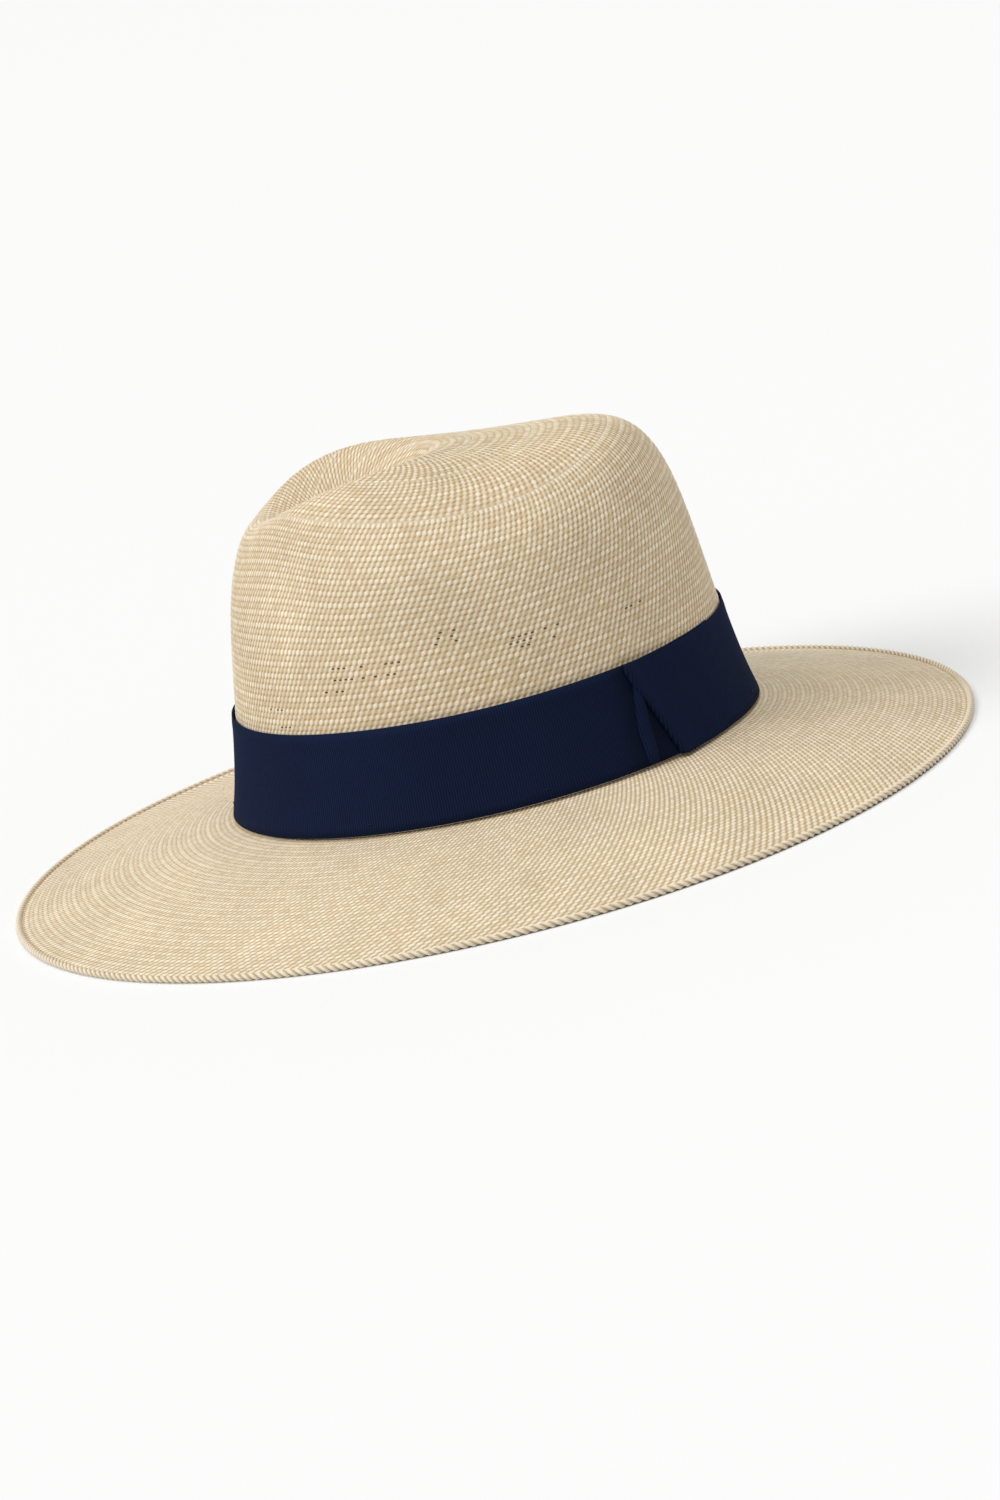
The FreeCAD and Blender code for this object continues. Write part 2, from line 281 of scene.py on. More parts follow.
def strand_height(column, row, lean, columns):
    """Height and paleness of the weave, both 0 to 1, at lattice coordinates that follow the slant."""
    relief = numpy.zeros_like(column)
    pale = numpy.zeros_like(column)
    for neighbour in (-1, 0, 1):
        number = numpy.floor(row) + neighbour
        across = row - number - 0.5
        second = numpy.mod(number, 2.0) > 0.5
        offset = column - lean * SLANT * number
        nearest = numpy.round(offset)
        beside = numpy.abs(offset - nearest)
        strand_column = numpy.mod(nearest, columns)
        longer = strand_chance(strand_column, number, 0.0)
        tone_and_painted_light = strand_chance(strand_column, number, 2.1)
        reach = STRAND_REACH * (1.0 + REACH_SPREAD * (longer - 0.5))
        half_width = numpy.where(second, SECOND_ROW[0], FIRST_ROW[0])
        bulge = 1.0 - (beside / half_width) ** 2 - (across / reach) ** 2
        strand = numpy.sqrt(numpy.maximum(bulge, 0.0)) * numpy.where(second, SECOND_ROW[1], FIRST_ROW[1])
        strand = strand * (1.0 - STAND_SPREAD * longer)
        under = 1.0 - ((0.5 - beside) / 0.3) ** 2 - (across / 0.55) ** 2
        lower = numpy.sqrt(numpy.maximum(under, 0.0)) * LOWER_HEIGHT
        relief = numpy.maximum(relief, numpy.maximum(strand, lower))
        tint = numpy.where(second, SECOND_ROW[2], FIRST_ROW[2]) * (1.0 - PALE_SPREAD * tone_and_painted_light)
        pale = numpy.maximum(pale, strand * tint)
    return relief, pale


def grid_mesh(columns, rows):
    """A flat grid as a mesh, and each vertex's column and row number."""
    grid = bmesh.new()
    bmesh.ops.create_grid(grid, x_segments=columns, y_segments=rows, size=0.5)
    mesh = bpy.data.meshes.new("grid")
    grid.to_mesh(mesh)
    grid.free()
    flat = numpy.zeros(len(mesh.vertices) * 3)
    mesh.vertices.foreach_get("co", flat)
    flat = flat.reshape(-1, 3)
    low = flat.min(axis=0)
    size = flat.max(axis=0) - low
    column = numpy.rint((flat[:, 0] - low[0]) / size[0] * columns)
    row = numpy.rint((flat[:, 1] - low[1]) / size[1] * rows)
    return mesh, column, row


def point_attribute(mesh, name, values):
    """Stores one number per vertex on a mesh."""
    attribute = mesh.attributes.new(name, "FLOAT", "POINT")
    attribute.data.foreach_set("value", values.astype(numpy.float32))


def place_mesh(name, mesh, points, flip=False, drop=()):
    """Places a grid's vertices, given in millimetres, and returns it as a smooth object at the origin."""
    mesh.name = name
    mesh.vertices.foreach_set("co", (points * MM).astype(numpy.float32).ravel())
    tidy = bmesh.new()
    tidy.from_mesh(mesh)
    if len(drop):
        tidy.faces.ensure_lookup_table()
        gone = [tidy.faces[number] for number in drop]
        bmesh.ops.delete(tidy, geom=gone, context="FACES")
    bmesh.ops.remove_doubles(tidy, verts=tidy.verts, dist=0.000002)
    if flip:
        bmesh.ops.reverse_faces(tidy, faces=tidy.faces)
    tidy.to_mesh(mesh)
    tidy.free()
    mesh.shade_smooth()
    piece = bpy.data.objects.new(name, mesh)
    bpy.context.collection.objects.link(piece)
    return piece


def surface_normals(place, angle, row, rows, side):
    """Points of a placed surface and its unit normals, turned over where side is -1."""
    step = 0.002
    around = place(angle + step, row) - place(angle - step, row)
    along = place(angle, numpy.minimum(row + 0.02, rows)) - place(angle, numpy.maximum(row - 0.02, 0.0))
    normal = numpy.cross(around, along) * side
    size = numpy.linalg.norm(normal, axis=1, keepdims=True)
    up = numpy.array([[0.0, 0.0, 1.0]])
    normal = numpy.where(size > 1e-7, normal / numpy.maximum(size, 1e-7), up)
    return place(angle, row), normal


def open_faces(mesh, column, row, columns, gaps):
    """The faces that are left out where the weave is open, in groups of lattice points."""
    corners = numpy.zeros(len(mesh.polygons) * 4, dtype=int)
    mesh.polygons.foreach_get("vertices", corners)
    corners = corners.reshape(-1, 4)
    middle_column = column[corners].mean(axis=1)
    middle_row = row[corners].mean(axis=1)
    chosen = numpy.zeros(len(corners), dtype=bool)
    for number, (degrees, at_row, wide, high) in enumerate(gaps):
        for up in range(high):
            line = at_row + up
            start = columns * degrees / 360.0 - SLANT * line
            for step in range(wide):
                if strand_chance(step, line, number) < GAP_SHARE:
                    continue
                nearest = numpy.floor(start) + step + numpy.mod(SLANT * line, 1.0) + 0.5
                aside = numpy.mod(middle_column - nearest + columns / 2.0, columns) - columns / 2.0
                above = middle_row - line - 0.5
                chosen |= (numpy.abs(aside) < 0.26) & (above > 0.0) & (above < 0.3)
    return numpy.flatnonzero(chosen)


def woven_piece(name, place, columns, part, rows, span, look, gaps=()):
    """One stretch of weave with its outer and inner face, closed along its first and last row.

    part is the first and last column and span the first and last row of rows. look holds the relief
    in millimetres, the lean of the strands, the side that is out, the samples of the inner face and how
    much painted light makes its strands paler, fading in from the first rows so that they keep a painted
    shade there.
    """
    relief_height, lean, side, inner_samples, tone_and_painted_light = look
    first, last = part
    bottom, top = span
    outer = (top - bottom) * ROW_SAMPLES
    inner = (top - bottom) * inner_samples
    mesh, i, j = grid_mesh((last - first) * COLUMN_SAMPLES, outer + inner + 2)
    column = first + i / COLUMN_SAMPLES
    closing = j > outer + inner + 1.5
    on_outer = (j <= outer) | closing
    row = numpy.where(on_outer, bottom + j / ROW_SAMPLES, top - (j - outer - 1) / inner_samples)
    row = numpy.where(closing, bottom, row)
    angle = 2.0 * math.pi * (column + lean * SLANT * row) / columns
    middle, normal = surface_normals(place, angle, row, rows, side)
    relief, pale = strand_height(column, row, lean, columns)
    # Painted light makes the brim's strands paler, fading in from the crown's foot, where they keep a
    # painted shade.
    pale = pale + tone_and_painted_light * smooth_step(row / FOOT_SHADE_ROWS)
    edge = (row < bottom + 0.01) | (row > top - 0.01)
    depth = VALLEY + relief_height * numpy.where(edge, EDGE_RELIEF, relief)
    depth = depth * numpy.where(on_outer, 1.0, -1.0)
    point_attribute(mesh, "strand", numpy.where(edge, EDGE_RELIEF, pale))
    point_attribute(mesh, "relief", numpy.where(edge, EDGE_RELIEF, relief))
    drop = open_faces(mesh, column, row, columns, gaps) if gaps else ()
    return place_mesh(name, mesh, middle + normal * depth[:, None], flip=side < 0, drop=drop)


def crown_zones(pitch, row_height):
    """The crown's rows, and its zones as (columns, first row, last row).

    Zones nearer the middle have fewer columns.
    """
    rows = int(round(PROFILE_LENGTH[-1] / row_height))
    zones = []
    bottom = 0
    girth = PROFILE_GIRTH[0]
    while bottom < rows:
        columns = max(int(round(girth / pitch / COLUMN_STEP)) * COLUMN_STEP, COLUMN_STEP)
        top = bottom + 1
        while top < rows:
            girth = numpy.interp(top * row_height, PROFILE_LENGTH, PROFILE_GIRTH)
            if girth < ZONE_SHRINK * pitch * columns and columns > COLUMN_STEP:
                break
            top += 1
        zones.append((columns, bottom, top))
        bottom = top
    return rows, zones


def part_count(columns, rows, inner_samples):
    """How many pieces a stretch of weave needs, so that none has too many triangles."""
    triangles = 2 * columns * COLUMN_SAMPLES * rows * (ROW_SAMPLES + inner_samples)
    return math.ceil(triangles / TRIANGLE_LIMIT)


def thicken(piece, thickness):
    """Gives a surface its thickness in millimetres, behind its face."""
    wall = piece.modifiers.new("Thickness", "SOLIDIFY")
    wall.thickness = thickness * MM
    wall.offset = -1.0


def wrapped_piece(name, degrees, heights, grow, cells, thickness, relief, flip=False):
    """A strip laid on the crown's wall: grow gives its offset from angle and height, and cells its mesh."""
    mesh, i, j = grid_mesh(*cells)
    angle = numpy.radians(degrees[0] + (degrees[1] - degrees[0]) * i / cells[0])
    height = heights[0] + (heights[1] - heights[0]) * j / cells[1]
    offset = grow(angle, height)
    x, y = wall_outline(angle, height, offset)
    points = numpy.stack((x, y + CROWN_BACKSET, FOOT_Z + height), axis=-1)
    point_attribute(mesh, "relief", relief(angle, height))
    piece = place_mesh(name, mesh, points, flip=flip)
    thicken(piece, thickness)
    return piece


def cross_snap(piece):
    """Rides a piece on the hat, or, where it reaches forward of the snap line at the front of the brim,
    bakes its place and leaves it off the hat's body.
    """
    lowest = min(vertex.co.y for vertex in piece.data.vertices)
    if lowest < SNAP_START[1]:
        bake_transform(piece)
    else:
        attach(piece, BODY)


# Materials


def new_material(name):
    """An empty node material with its output and main shader."""
    material = bpy.data.materials.new(name)
    material.use_nodes = True
    nodes = material.node_tree.nodes
    nodes.clear()
    output = nodes.new("ShaderNodeOutputMaterial")
    shader = nodes.new("ShaderNodeBsdfPrincipled")
    material.node_tree.links.new(shader.outputs["BSDF"], output.inputs["Surface"])
    return material, shader


def fibre_group():
    """Shader group: fine fibres and slow changes of tone, as a tone to multiply with and a height."""
    if "Fibres" in bpy.data.node_groups:
        return bpy.data.node_groups["Fibres"]
    group = bpy.data.node_groups.new("Fibres", "ShaderNodeTree")
    face = group.interface
    for label, value in (("Fineness", 900.0), ("Cloudiness", 30.0), ("Contrast", 0.2)):
        socket = face.new_socket(label, in_out="INPUT", socket_type="NodeSocketFloat")
        socket.default_value = value
    face.new_socket("Tone", in_out="OUTPUT", socket_type="NodeSocketFloat")
    face.new_socket("Height", in_out="OUTPUT", socket_type="NodeSocketFloat")
    nodes = group.nodes
    links = group.links
    inputs = nodes.new("NodeGroupInput")
    outputs = nodes.new("NodeGroupOutput")
    place = nodes.new("ShaderNodeTexCoord")
    fine = nodes.new("ShaderNodeTexNoise")
    cloud = nodes.new("ShaderNodeTexNoise")
    fine.inputs["Detail"].default_value = 3.0
    cloud.inputs["Detail"].default_value = 2.0
    for noise, label in ((fine, "Fineness"), (cloud, "Cloudiness")):
        links.new(place.outputs["Object"], noise.inputs["Vector"])
        links.new(inputs.outputs[label], noise.inputs["Scale"])
    both = nodes.new("ShaderNodeMath")
    both.operation = "ADD"
    links.new(fine.outputs["Fac"], both.inputs[0])
    links.new(cloud.outputs["Fac"], both.inputs[1])
    centred = nodes.new("ShaderNodeMath")
    centred.operation = "SUBTRACT"
    centred.inputs[1].default_value = 1.0
    links.new(both.outputs[0], centred.inputs[0])
    scaled = nodes.new("ShaderNodeMath")
    scaled.operation = "MULTIPLY_ADD"
    scaled.inputs[2].default_value = 1.0
    links.new(centred.outputs[0], scaled.inputs[0])
    links.new(inputs.outputs["Contrast"], scaled.inputs[1])
    links.new(scaled.outputs[0], outputs.inputs["Tone"])
    links.new(fine.outputs["Fac"], outputs.inputs["Height"])
    return group


def add_fibres(material, fineness, cloudiness, contrast):
    """Places the fibre group in a material with its own values."""
    node = material.node_tree.nodes.new("ShaderNodeGroup")
    node.node_tree = fibre_group()
    node.inputs["Fineness"].default_value = fineness
    node.inputs["Cloudiness"].default_value = cloudiness
    node.inputs["Contrast"].default_value = contrast
    return node


def mixed(material, fraction, low, high, blend="MIX"):
    """A colour mix node; fraction, low and high are sockets or plain values."""
    tree = material.node_tree
    node = tree.nodes.new("ShaderNodeMix")
    node.data_type = "RGBA"
    node.blend_type = blend
    for socket, value in ((node.inputs[0], fraction), (node.inputs[6], low), (node.inputs[7], high)):
        if isinstance(value, bpy.types.NodeSocket):
            tree.links.new(value, socket)
        elif socket.type == "RGBA":
            socket.default_value = (*value, 1.0)
        else:
            socket.default_value = value
    return node.outputs[2]


def stepped(material, value, low, high, out_low=0.0, out_high=1.0):
    """A smooth step of a value between two limits."""
    node = material.node_tree.nodes.new("ShaderNodeMapRange")
    node.interpolation_type = "SMOOTHSTEP"
    node.inputs["From Min"].default_value = low
    node.inputs["From Max"].default_value = high
    node.inputs["To Min"].default_value = out_low
    node.inputs["To Max"].default_value = out_high
    material.node_tree.links.new(value, node.inputs["Value"])
    return node.outputs["Result"]


def attribute_value(material, name):
    """The value of a mesh attribute."""
    node = material.node_tree.nodes.new("ShaderNodeAttribute")
    node.attribute_name = name
    return node.outputs["Fac"]


def add_bump(material, shader, height, distance):
    """A bump of a height in metres on the shader's normal."""
    node = material.node_tree.nodes.new("ShaderNodeBump")
    node.inputs["Distance"].default_value = distance
    node.inputs["Strength"].default_value = 0.6
    material.node_tree.links.new(height, node.inputs["Height"])
    material.node_tree.links.new(node.outputs["Normal"], shader.inputs["Normal"])


def toned(material, colour, tone):
    """A colour multiplied by a tone."""
    return mixed(material, 1.0, colour, tone, blend="MULTIPLY")


def straw_material(name, pale, tan, valley_shade):
    """Woven straw: pale strands over tan ones, with painted shade down between them."""
    material, shader = new_material(name)
    strand = stepped(material, attribute_value(material, "strand"), 0.2, 0.85)
    colour = mixed(material, strand, tan, pale)
    # Painted shade: where the weave's relief is low, down between the strands, the colour turns to the
    # shade colour.
    depth = stepped(material, attribute_value(material, "relief"), 0.05, 0.55)
    colour = mixed(material, depth, valley_shade, colour)
    fibres = add_fibres(material, 1400.0, 45.0, 0.22)
    colour = toned(material, colour, fibres.outputs["Tone"])
    material.node_tree.links.new(colour, shader.inputs["Base Color"])
    shader.inputs["Roughness"].default_value = 0.62
    shader.inputs["Specular IOR Level"].default_value = 0.35
    add_bump(material, shader, fibres.outputs["Height"], 0.00012)
    return material


def cloth_material(name, colour, shade, roughness, sheen, fineness, shine=0.3):
    """Cloth with ribs: shade is the colour of the painted shade down between the ribs."""
    material, shader = new_material(name)
    # Painted shade: low relief, down between the ribs, takes the shade colour.
    ribs = stepped(material, attribute_value(material, "relief"), 0.0, 1.0)
    mix = mixed(material, ribs, shade, colour)
    fibres = add_fibres(material, fineness, 25.0, 0.35)
    mix = toned(material, mix, fibres.outputs["Tone"])
    material.node_tree.links.new(mix, shader.inputs["Base Color"])
    shader.inputs["Roughness"].default_value = roughness
    shader.inputs["Sheen Weight"].default_value = sheen
    shader.inputs["Sheen Roughness"].default_value = 0.4
    shader.inputs["Specular IOR Level"].default_value = shine
    add_bump(material, shader, fibres.outputs["Height"], 0.00008)
    return material


# The ribbon


def side_angle(y, height):
    """The angle at which the crown's left wall reaches a given Y, at a height above its foot."""
    angle = numpy.full_like(height, 0.5)
    for _ in range(6):
        half_length = wall_outline(angle, height, 0.0)[1] / numpy.sin(angle)
        angle = numpy.arcsin((y - CROWN_BACKSET) / half_length)
    return angle


def rib_wave(angle, ribs):
    """The ribs of the ribbon, from -1 down between them to 1 on top."""
    return numpy.cos(ribs * angle)


def band_grow(settings):
    """The ribbon's outer face, off the wall: ribs, thin selvedges and a slight looseness."""
    def grow(angle, height):
        share = (height - BAND_LIFT) / BAND_HEIGHT
        selvedge = smooth_step((share - 0.01) / 0.03) * smooth_step((0.99 - share) / 0.03)
        ribs = rib_wave(angle, settings.ribbon_ribs) * settings.rib_height / MM
        loose = 0.16 * numpy.sin(3.0 * angle + 0.7) + 0.1 * numpy.sin(7.0 * angle + 2.0)
        edge = 0.3 * smooth_step((share - 0.8) / 0.2)
        return RIBBON_FACE + ribs * (0.2 + 0.8 * selvedge) - 0.12 * (1.0 - selvedge) + loose * share + edge
    return grow


def band_ribs_and_shade(settings):
    """How far up on its ribs the ribbon is, 0 to 1, and 0 for painted shade in the pocket beside the fold.
    """
    def relief(angle, height):
        x, y = wall_outline(angle, height, 0.0)
        # Painted shade: the pocket beside the fold takes the ribbon's shade colour.
        fold_shade = numpy.exp(-((y + CROWN_BACKSET - FOLD_SHADE_Y) / FOLD_SHADE_REACH) ** 2) * (x > 0.0)
        return (0.5 + 0.5 * rib_wave(angle, settings.ribbon_ribs)) * (1.0 - fold_shade)
    return relief


def side_strip(name, edges, cells, grow, settings, thickness):
    """A piece of ribbon on the left wall between two edges, each given as heights and their Y."""
    mesh, i, j = grid_mesh(*cells)
    across = i / cells[0]
    low, high = edges[0][0][0], edges[0][0][-1]
    height = low + (high - low) * j / cells[1]
    start = side_angle(numpy.interp(height, *edges[0]), height)
    end = side_angle(numpy.interp(height, *edges[1]), height)
    angle = start + (end - start) * across
    offset = grow(across, (angle - start) * CROWN_LENGTH / 2.0, height)
    ribs = rib_wave(angle, settings.ribbon_ribs)
    offset = offset + ribs * settings.rib_height / MM
    x, y = wall_outline(angle, height, offset)
    points = numpy.stack((x, y + CROWN_BACKSET, FOOT_Z + height), axis=-1)
    point_attribute(mesh, "relief", 0.5 + 0.5 * ribs)
    piece = place_mesh(name, mesh, points)
    thicken(piece, thickness)
    return piece


def dress(piece, material):
    """Gives a piece its material."""
    piece.data.materials.append(material)


def thread_mesh(name, spots, length, radius):
    """Short stitches as spindles, one at each (place, direction) in metres."""
    threads = bmesh.new()
    for place, direction in spots:
        turn = Vector((0.0, 0.0, 1.0)).rotation_difference(direction).to_matrix().to_4x4()
        shape = Matrix.Diagonal((radius, radius, length / 2.0, 1.0))
        matrix = Matrix.Translation(place) @ turn @ shape
        bmesh.ops.create_uvsphere(threads, u_segments=8, v_segments=6, radius=1.0, matrix=matrix)
    mesh = bpy.data.meshes.new(name)
    threads.to_mesh(mesh)
    threads.free()
    mesh.shade_smooth()
    point_attribute(mesh, "relief", numpy.ones(len(mesh.vertices)))
    piece = bpy.data.objects.new(name, mesh)
    bpy.context.collection.objects.link(piece)
    return piece


def wall_spot(angle, height, offset):
    """A place on the wall in metres, and the level direction along it."""
    x, y = wall_outline(numpy.float64(angle), numpy.float64(height), offset)
    ahead_x, ahead_y = wall_outline(numpy.float64(angle + 0.01), numpy.float64(height), offset)
    place = Vector((x, y + CROWN_BACKSET, FOOT_Z + height)) * MM
    return place, Vector((ahead_x - x, ahead_y - y, 0.0)).normalized()


class HatSizes(bpy.types.PropertyGroup):
    """Sizes of the weave and the ribbon."""

    crown_pitch: FloatProperty(
        name="Crown strand pitch", description="Distance between strands round the crown",
        default=0.0025, unit="LENGTH")
    crown_row: FloatProperty(
        name="Crown row", description="Height of one row of strands on the crown",
        default=0.0021, unit="LENGTH")
    brim_strands: IntProperty(
        name="Brim strands", description="Strands round the brim, and scallops round its edge", default=380)
    brim_rows: IntProperty(
        name="Brim rows", description="Rows of strands from the head opening to the edge", default=46)
    strand_relief: FloatProperty(
        name="Strand relief", description="How far the strands stand up from the weave",
        default=0.00055, unit="LENGTH")
    ribbon_ribs: IntProperty(
        name="Ribbon ribs", description="Ribs round the ribbon", default=640)
    rib_height: FloatProperty(
        name="Rib height", description="Half the depth between the ribbon's ribs",
        default=0.00007, unit="LENGTH")


def colour_property(name, description, value):
    """A colour that a user may change."""
    return FloatVectorProperty(
        name=name, description=description, subtype="COLOR", size=3, min=0.0, max=1.0, default=value)


class HatColours(bpy.types.PropertyGroup):
    """Colours of the straw, the ribbon and the sweatband."""

    pale_straw: colour_property("Pale straw", "Colour of the upper strands", (0.79, 0.725, 0.60))
    tan_straw: colour_property("Tan straw", "Colour of the lower strands", (0.54, 0.415, 0.25))
    # Painted shade down between the straw's strands.
    straw_valley_shade: colour_property("Straw valley shade", "Colour down between the strands", (0.31, 0.19, 0.085))
    navy: colour_property("Navy", "Colour of the ribbon", (0.006, 0.014, 0.052))
    # Painted shade between the ribbon's ribs and in the pocket beside its fold.
    navy_shade: colour_property("Navy shade", "Colour between the ribbon's ribs", (0.002, 0.005, 0.018))
    cloth: colour_property("Sweatband", "Colour of the sweatband", (0.70, 0.62, 0.48))
    # Painted shade between the sweatband's ribs.
    sweatband_shade: colour_property("Sweatband shade", "Colour between its ribs", (0.52, 0.44, 0.32))
    label: colour_property("Label", "Colour of the blank label", (0.85, 0.83, 0.78))
    floor: colour_property("Floor", "Colour of the floor", (0.82, 0.84, 0.87))


class HAT_OT_crown(bpy.types.Operator):
    """Weave the crown"""

    bl_idname = "hat.crown"
    bl_label = "Crown"

    def execute(self, context):
        sizes = context.scene.hat_sizes
        material = bpy.data.materials["Woven straw"]
        relief = sizes.strand_relief / MM
        rows, zones = crown_zones(sizes.crown_pitch / MM, sizes.crown_row / MM)
        place = crown_place(rows)
        look = (relief, 1.0, 1.0, 2, 0.0)
        pieces = []
        for number, (columns, bottom, top) in enumerate(zones):
            parts = part_count(columns, top - bottom, look[3])
            for part in range(parts):
                name = f"crown_weave_{number}_{part}"
                limits = (columns * part // parts, columns * (part + 1) // parts)
                gaps = CROWN_GAPS if number == 0 else ()
                pieces.append(woven_piece(name, place, columns, limits, rows, (bottom, top), look, gaps))
        for piece in pieces:
            dress(piece, material)
            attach(piece, BODY)
        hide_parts("straw_crown")
        return {"FINISHED"}


class HAT_OT_brim(bpy.types.Operator):
    """Weave the brim"""

    bl_idname = "hat.brim"
    bl_label = "Brim"

    def execute(self, context):
        sizes = context.scene.hat_sizes
        material = bpy.data.materials["Woven straw"]
        rows = sizes.brim_rows
        columns = sizes.brim_strands
        # The last value is painted light on the brim's strands.
        look = (sizes.strand_relief / MM * 0.8, -1.0, -1.0, 2, 0.08)
        parts = part_count(columns, rows, look[3])
        pieces = []
        for part in range(parts):
            limits = (columns * part // parts, columns * (part + 1) // parts)
            name = f"brim_weave_{part}"
            pieces.append(woven_piece(name, brim_place(rows), columns, limits, rows, (0, rows), look))
        for piece in pieces:
            dress(piece, material)
            cross_snap(piece)
        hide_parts("straw_brim", "straw_brim_front")
        return {"FINISHED"}


class HAT_OT_edge(bpy.types.Operator):
    """Roll the brim's edge"""

    bl_idname = "hat.edge"
    bl_label = "Edge roll"

    def execute(self, context):
        columns = context.scene.hat_sizes.brim_strands
        samples = 6
        around = 12
        mesh, i, j = grid_mesh(columns * samples, around)
        along = i / samples
        angle = 2.0 * math.pi * along / columns
        turn = 2.0 * math.pi * j / around
        wave = numpy.cos(2.0 * turn + 2.0 * math.pi * along)
        radius = EDGE_RADIUS - 0.60 + 0.35 * wave
        across = numpy.stack((numpy.cos(angle) / BRIM_WIDTH, numpy.sin(angle) / BRIM_LENGTH), axis=-1)
        across = across / numpy.linalg.norm(across, axis=1, keepdims=True)
        x = BRIM_WIDTH / 2.0 * numpy.cos(angle) + across[:, 0] * radius * numpy.cos(turn)
        y = BRIM_LENGTH / 2.0 * numpy.sin(angle) + across[:, 1] * radius * numpy.cos(turn)
        z = numpy.maximum(EDGE_RADIUS - EDGE_FLAT + radius * numpy.sin(turn), 0.02)
        point_attribute(mesh, "strand", 0.55 + 0.25 * wave)
        # The relief also gives painted shade between the roll's twists.
        point_attribute(mesh, "relief", 0.55 + 0.35 * wave)
        piece = place_mesh("edge_roll", mesh, numpy.stack((x, y, z), axis=-1))
        dress(piece, bpy.data.materials["Straw roll"])
        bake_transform(piece)
        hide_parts("brim_edge", "brim_edge_front")
        return {"FINISHED"}


class HAT_OT_ribbon(bpy.types.Operator):
    """Wrap the ribbon, and fold its ends over each other on the left"""

    bl_idname = "hat.ribbon"
    bl_label = "Ribbon"

    def execute(self, context):
        sizes = context.scene.hat_sizes
        material = bpy.data.materials["Navy ribbon"]
        heights = (BAND_LIFT, BAND_LIFT + BAND_HEIGHT)
        band = wrapped_piece(
            "ribbon", (0.0, 360.0), heights, band_grow(sizes), (sizes.ribbon_ribs * 4, 12),
            thickness=0.6, relief=band_ribs_and_shade(sizes))
        dress(band, material)
        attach(band, BODY)
        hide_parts("hat_band")

        def layer_grow(across, run, height):
            base = numpy.interp(run, (0.0, 0.7, 2.0, 6.0, 12.0, 34.0), (1.7, 3.1, 3.6, 2.9, 2.2, 0.85))
            return base + 0.5 * smooth_step((height - 24.0) / 10.0) * numpy.exp(-((run - 2.0) / 3.0) ** 2)

        fold_heights = (BAND_LIFT - 0.1, 22.9, 28.1, 35.6, BAND_LIFT + BAND_HEIGHT + 0.4)
        leading = (fold_heights, (70.2, 61.7, 58.9, 56.6, 55.9))
        trailing = (fold_heights, (92.0, 92.0, 92.0, 92.0, 92.0))
        fold = side_strip("ribbon_fold", (leading, trailing), (180, 36), layer_grow, sizes, 0.6)
        dress(fold, material)
        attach(fold, BODY)
        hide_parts("band_fold")

        def tuck_grow(across, run, height):
            swell = numpy.sin(math.pi * numpy.clip(across, 0.0, 1.0)) ** 0.6
            return 1.15 + 1.7 * swell * smooth_step((height - BAND_LIFT) / 5.0)

        tuck_heights = (BAND_LIFT + 0.2, 5.1, 14.7, 25.0, 30.0, 36.5)
        tuck_left = (tuck_heights, (58.6, 57.7, 56.9, 57.8, 58.6, 58.8))
        tuck_right = (tuck_heights, (62.2, 62.4, 62.0, 61.8, 61.8, 61.8))
        tuck = side_strip("ribbon_tuck", (tuck_left, tuck_right), (20, 30), tuck_grow, sizes, 0.4)
        dress(tuck, material)
        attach(tuck, BODY)
        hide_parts("band_tuck")

        spots = []
        for degrees in TACK_DEGREES:
            spots.append(wall_spot(math.radians(degrees), BAND_LIFT + 4.0, RIBBON_FACE + 0.12))
        tacks = thread_mesh("ribbon_tacks", spots, 0.0024, 0.00025)
        dress(tacks, bpy.data.materials["Navy thread"])
        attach(tacks, BODY)
        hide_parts("band_tacks")
        return {"FINISHED"}


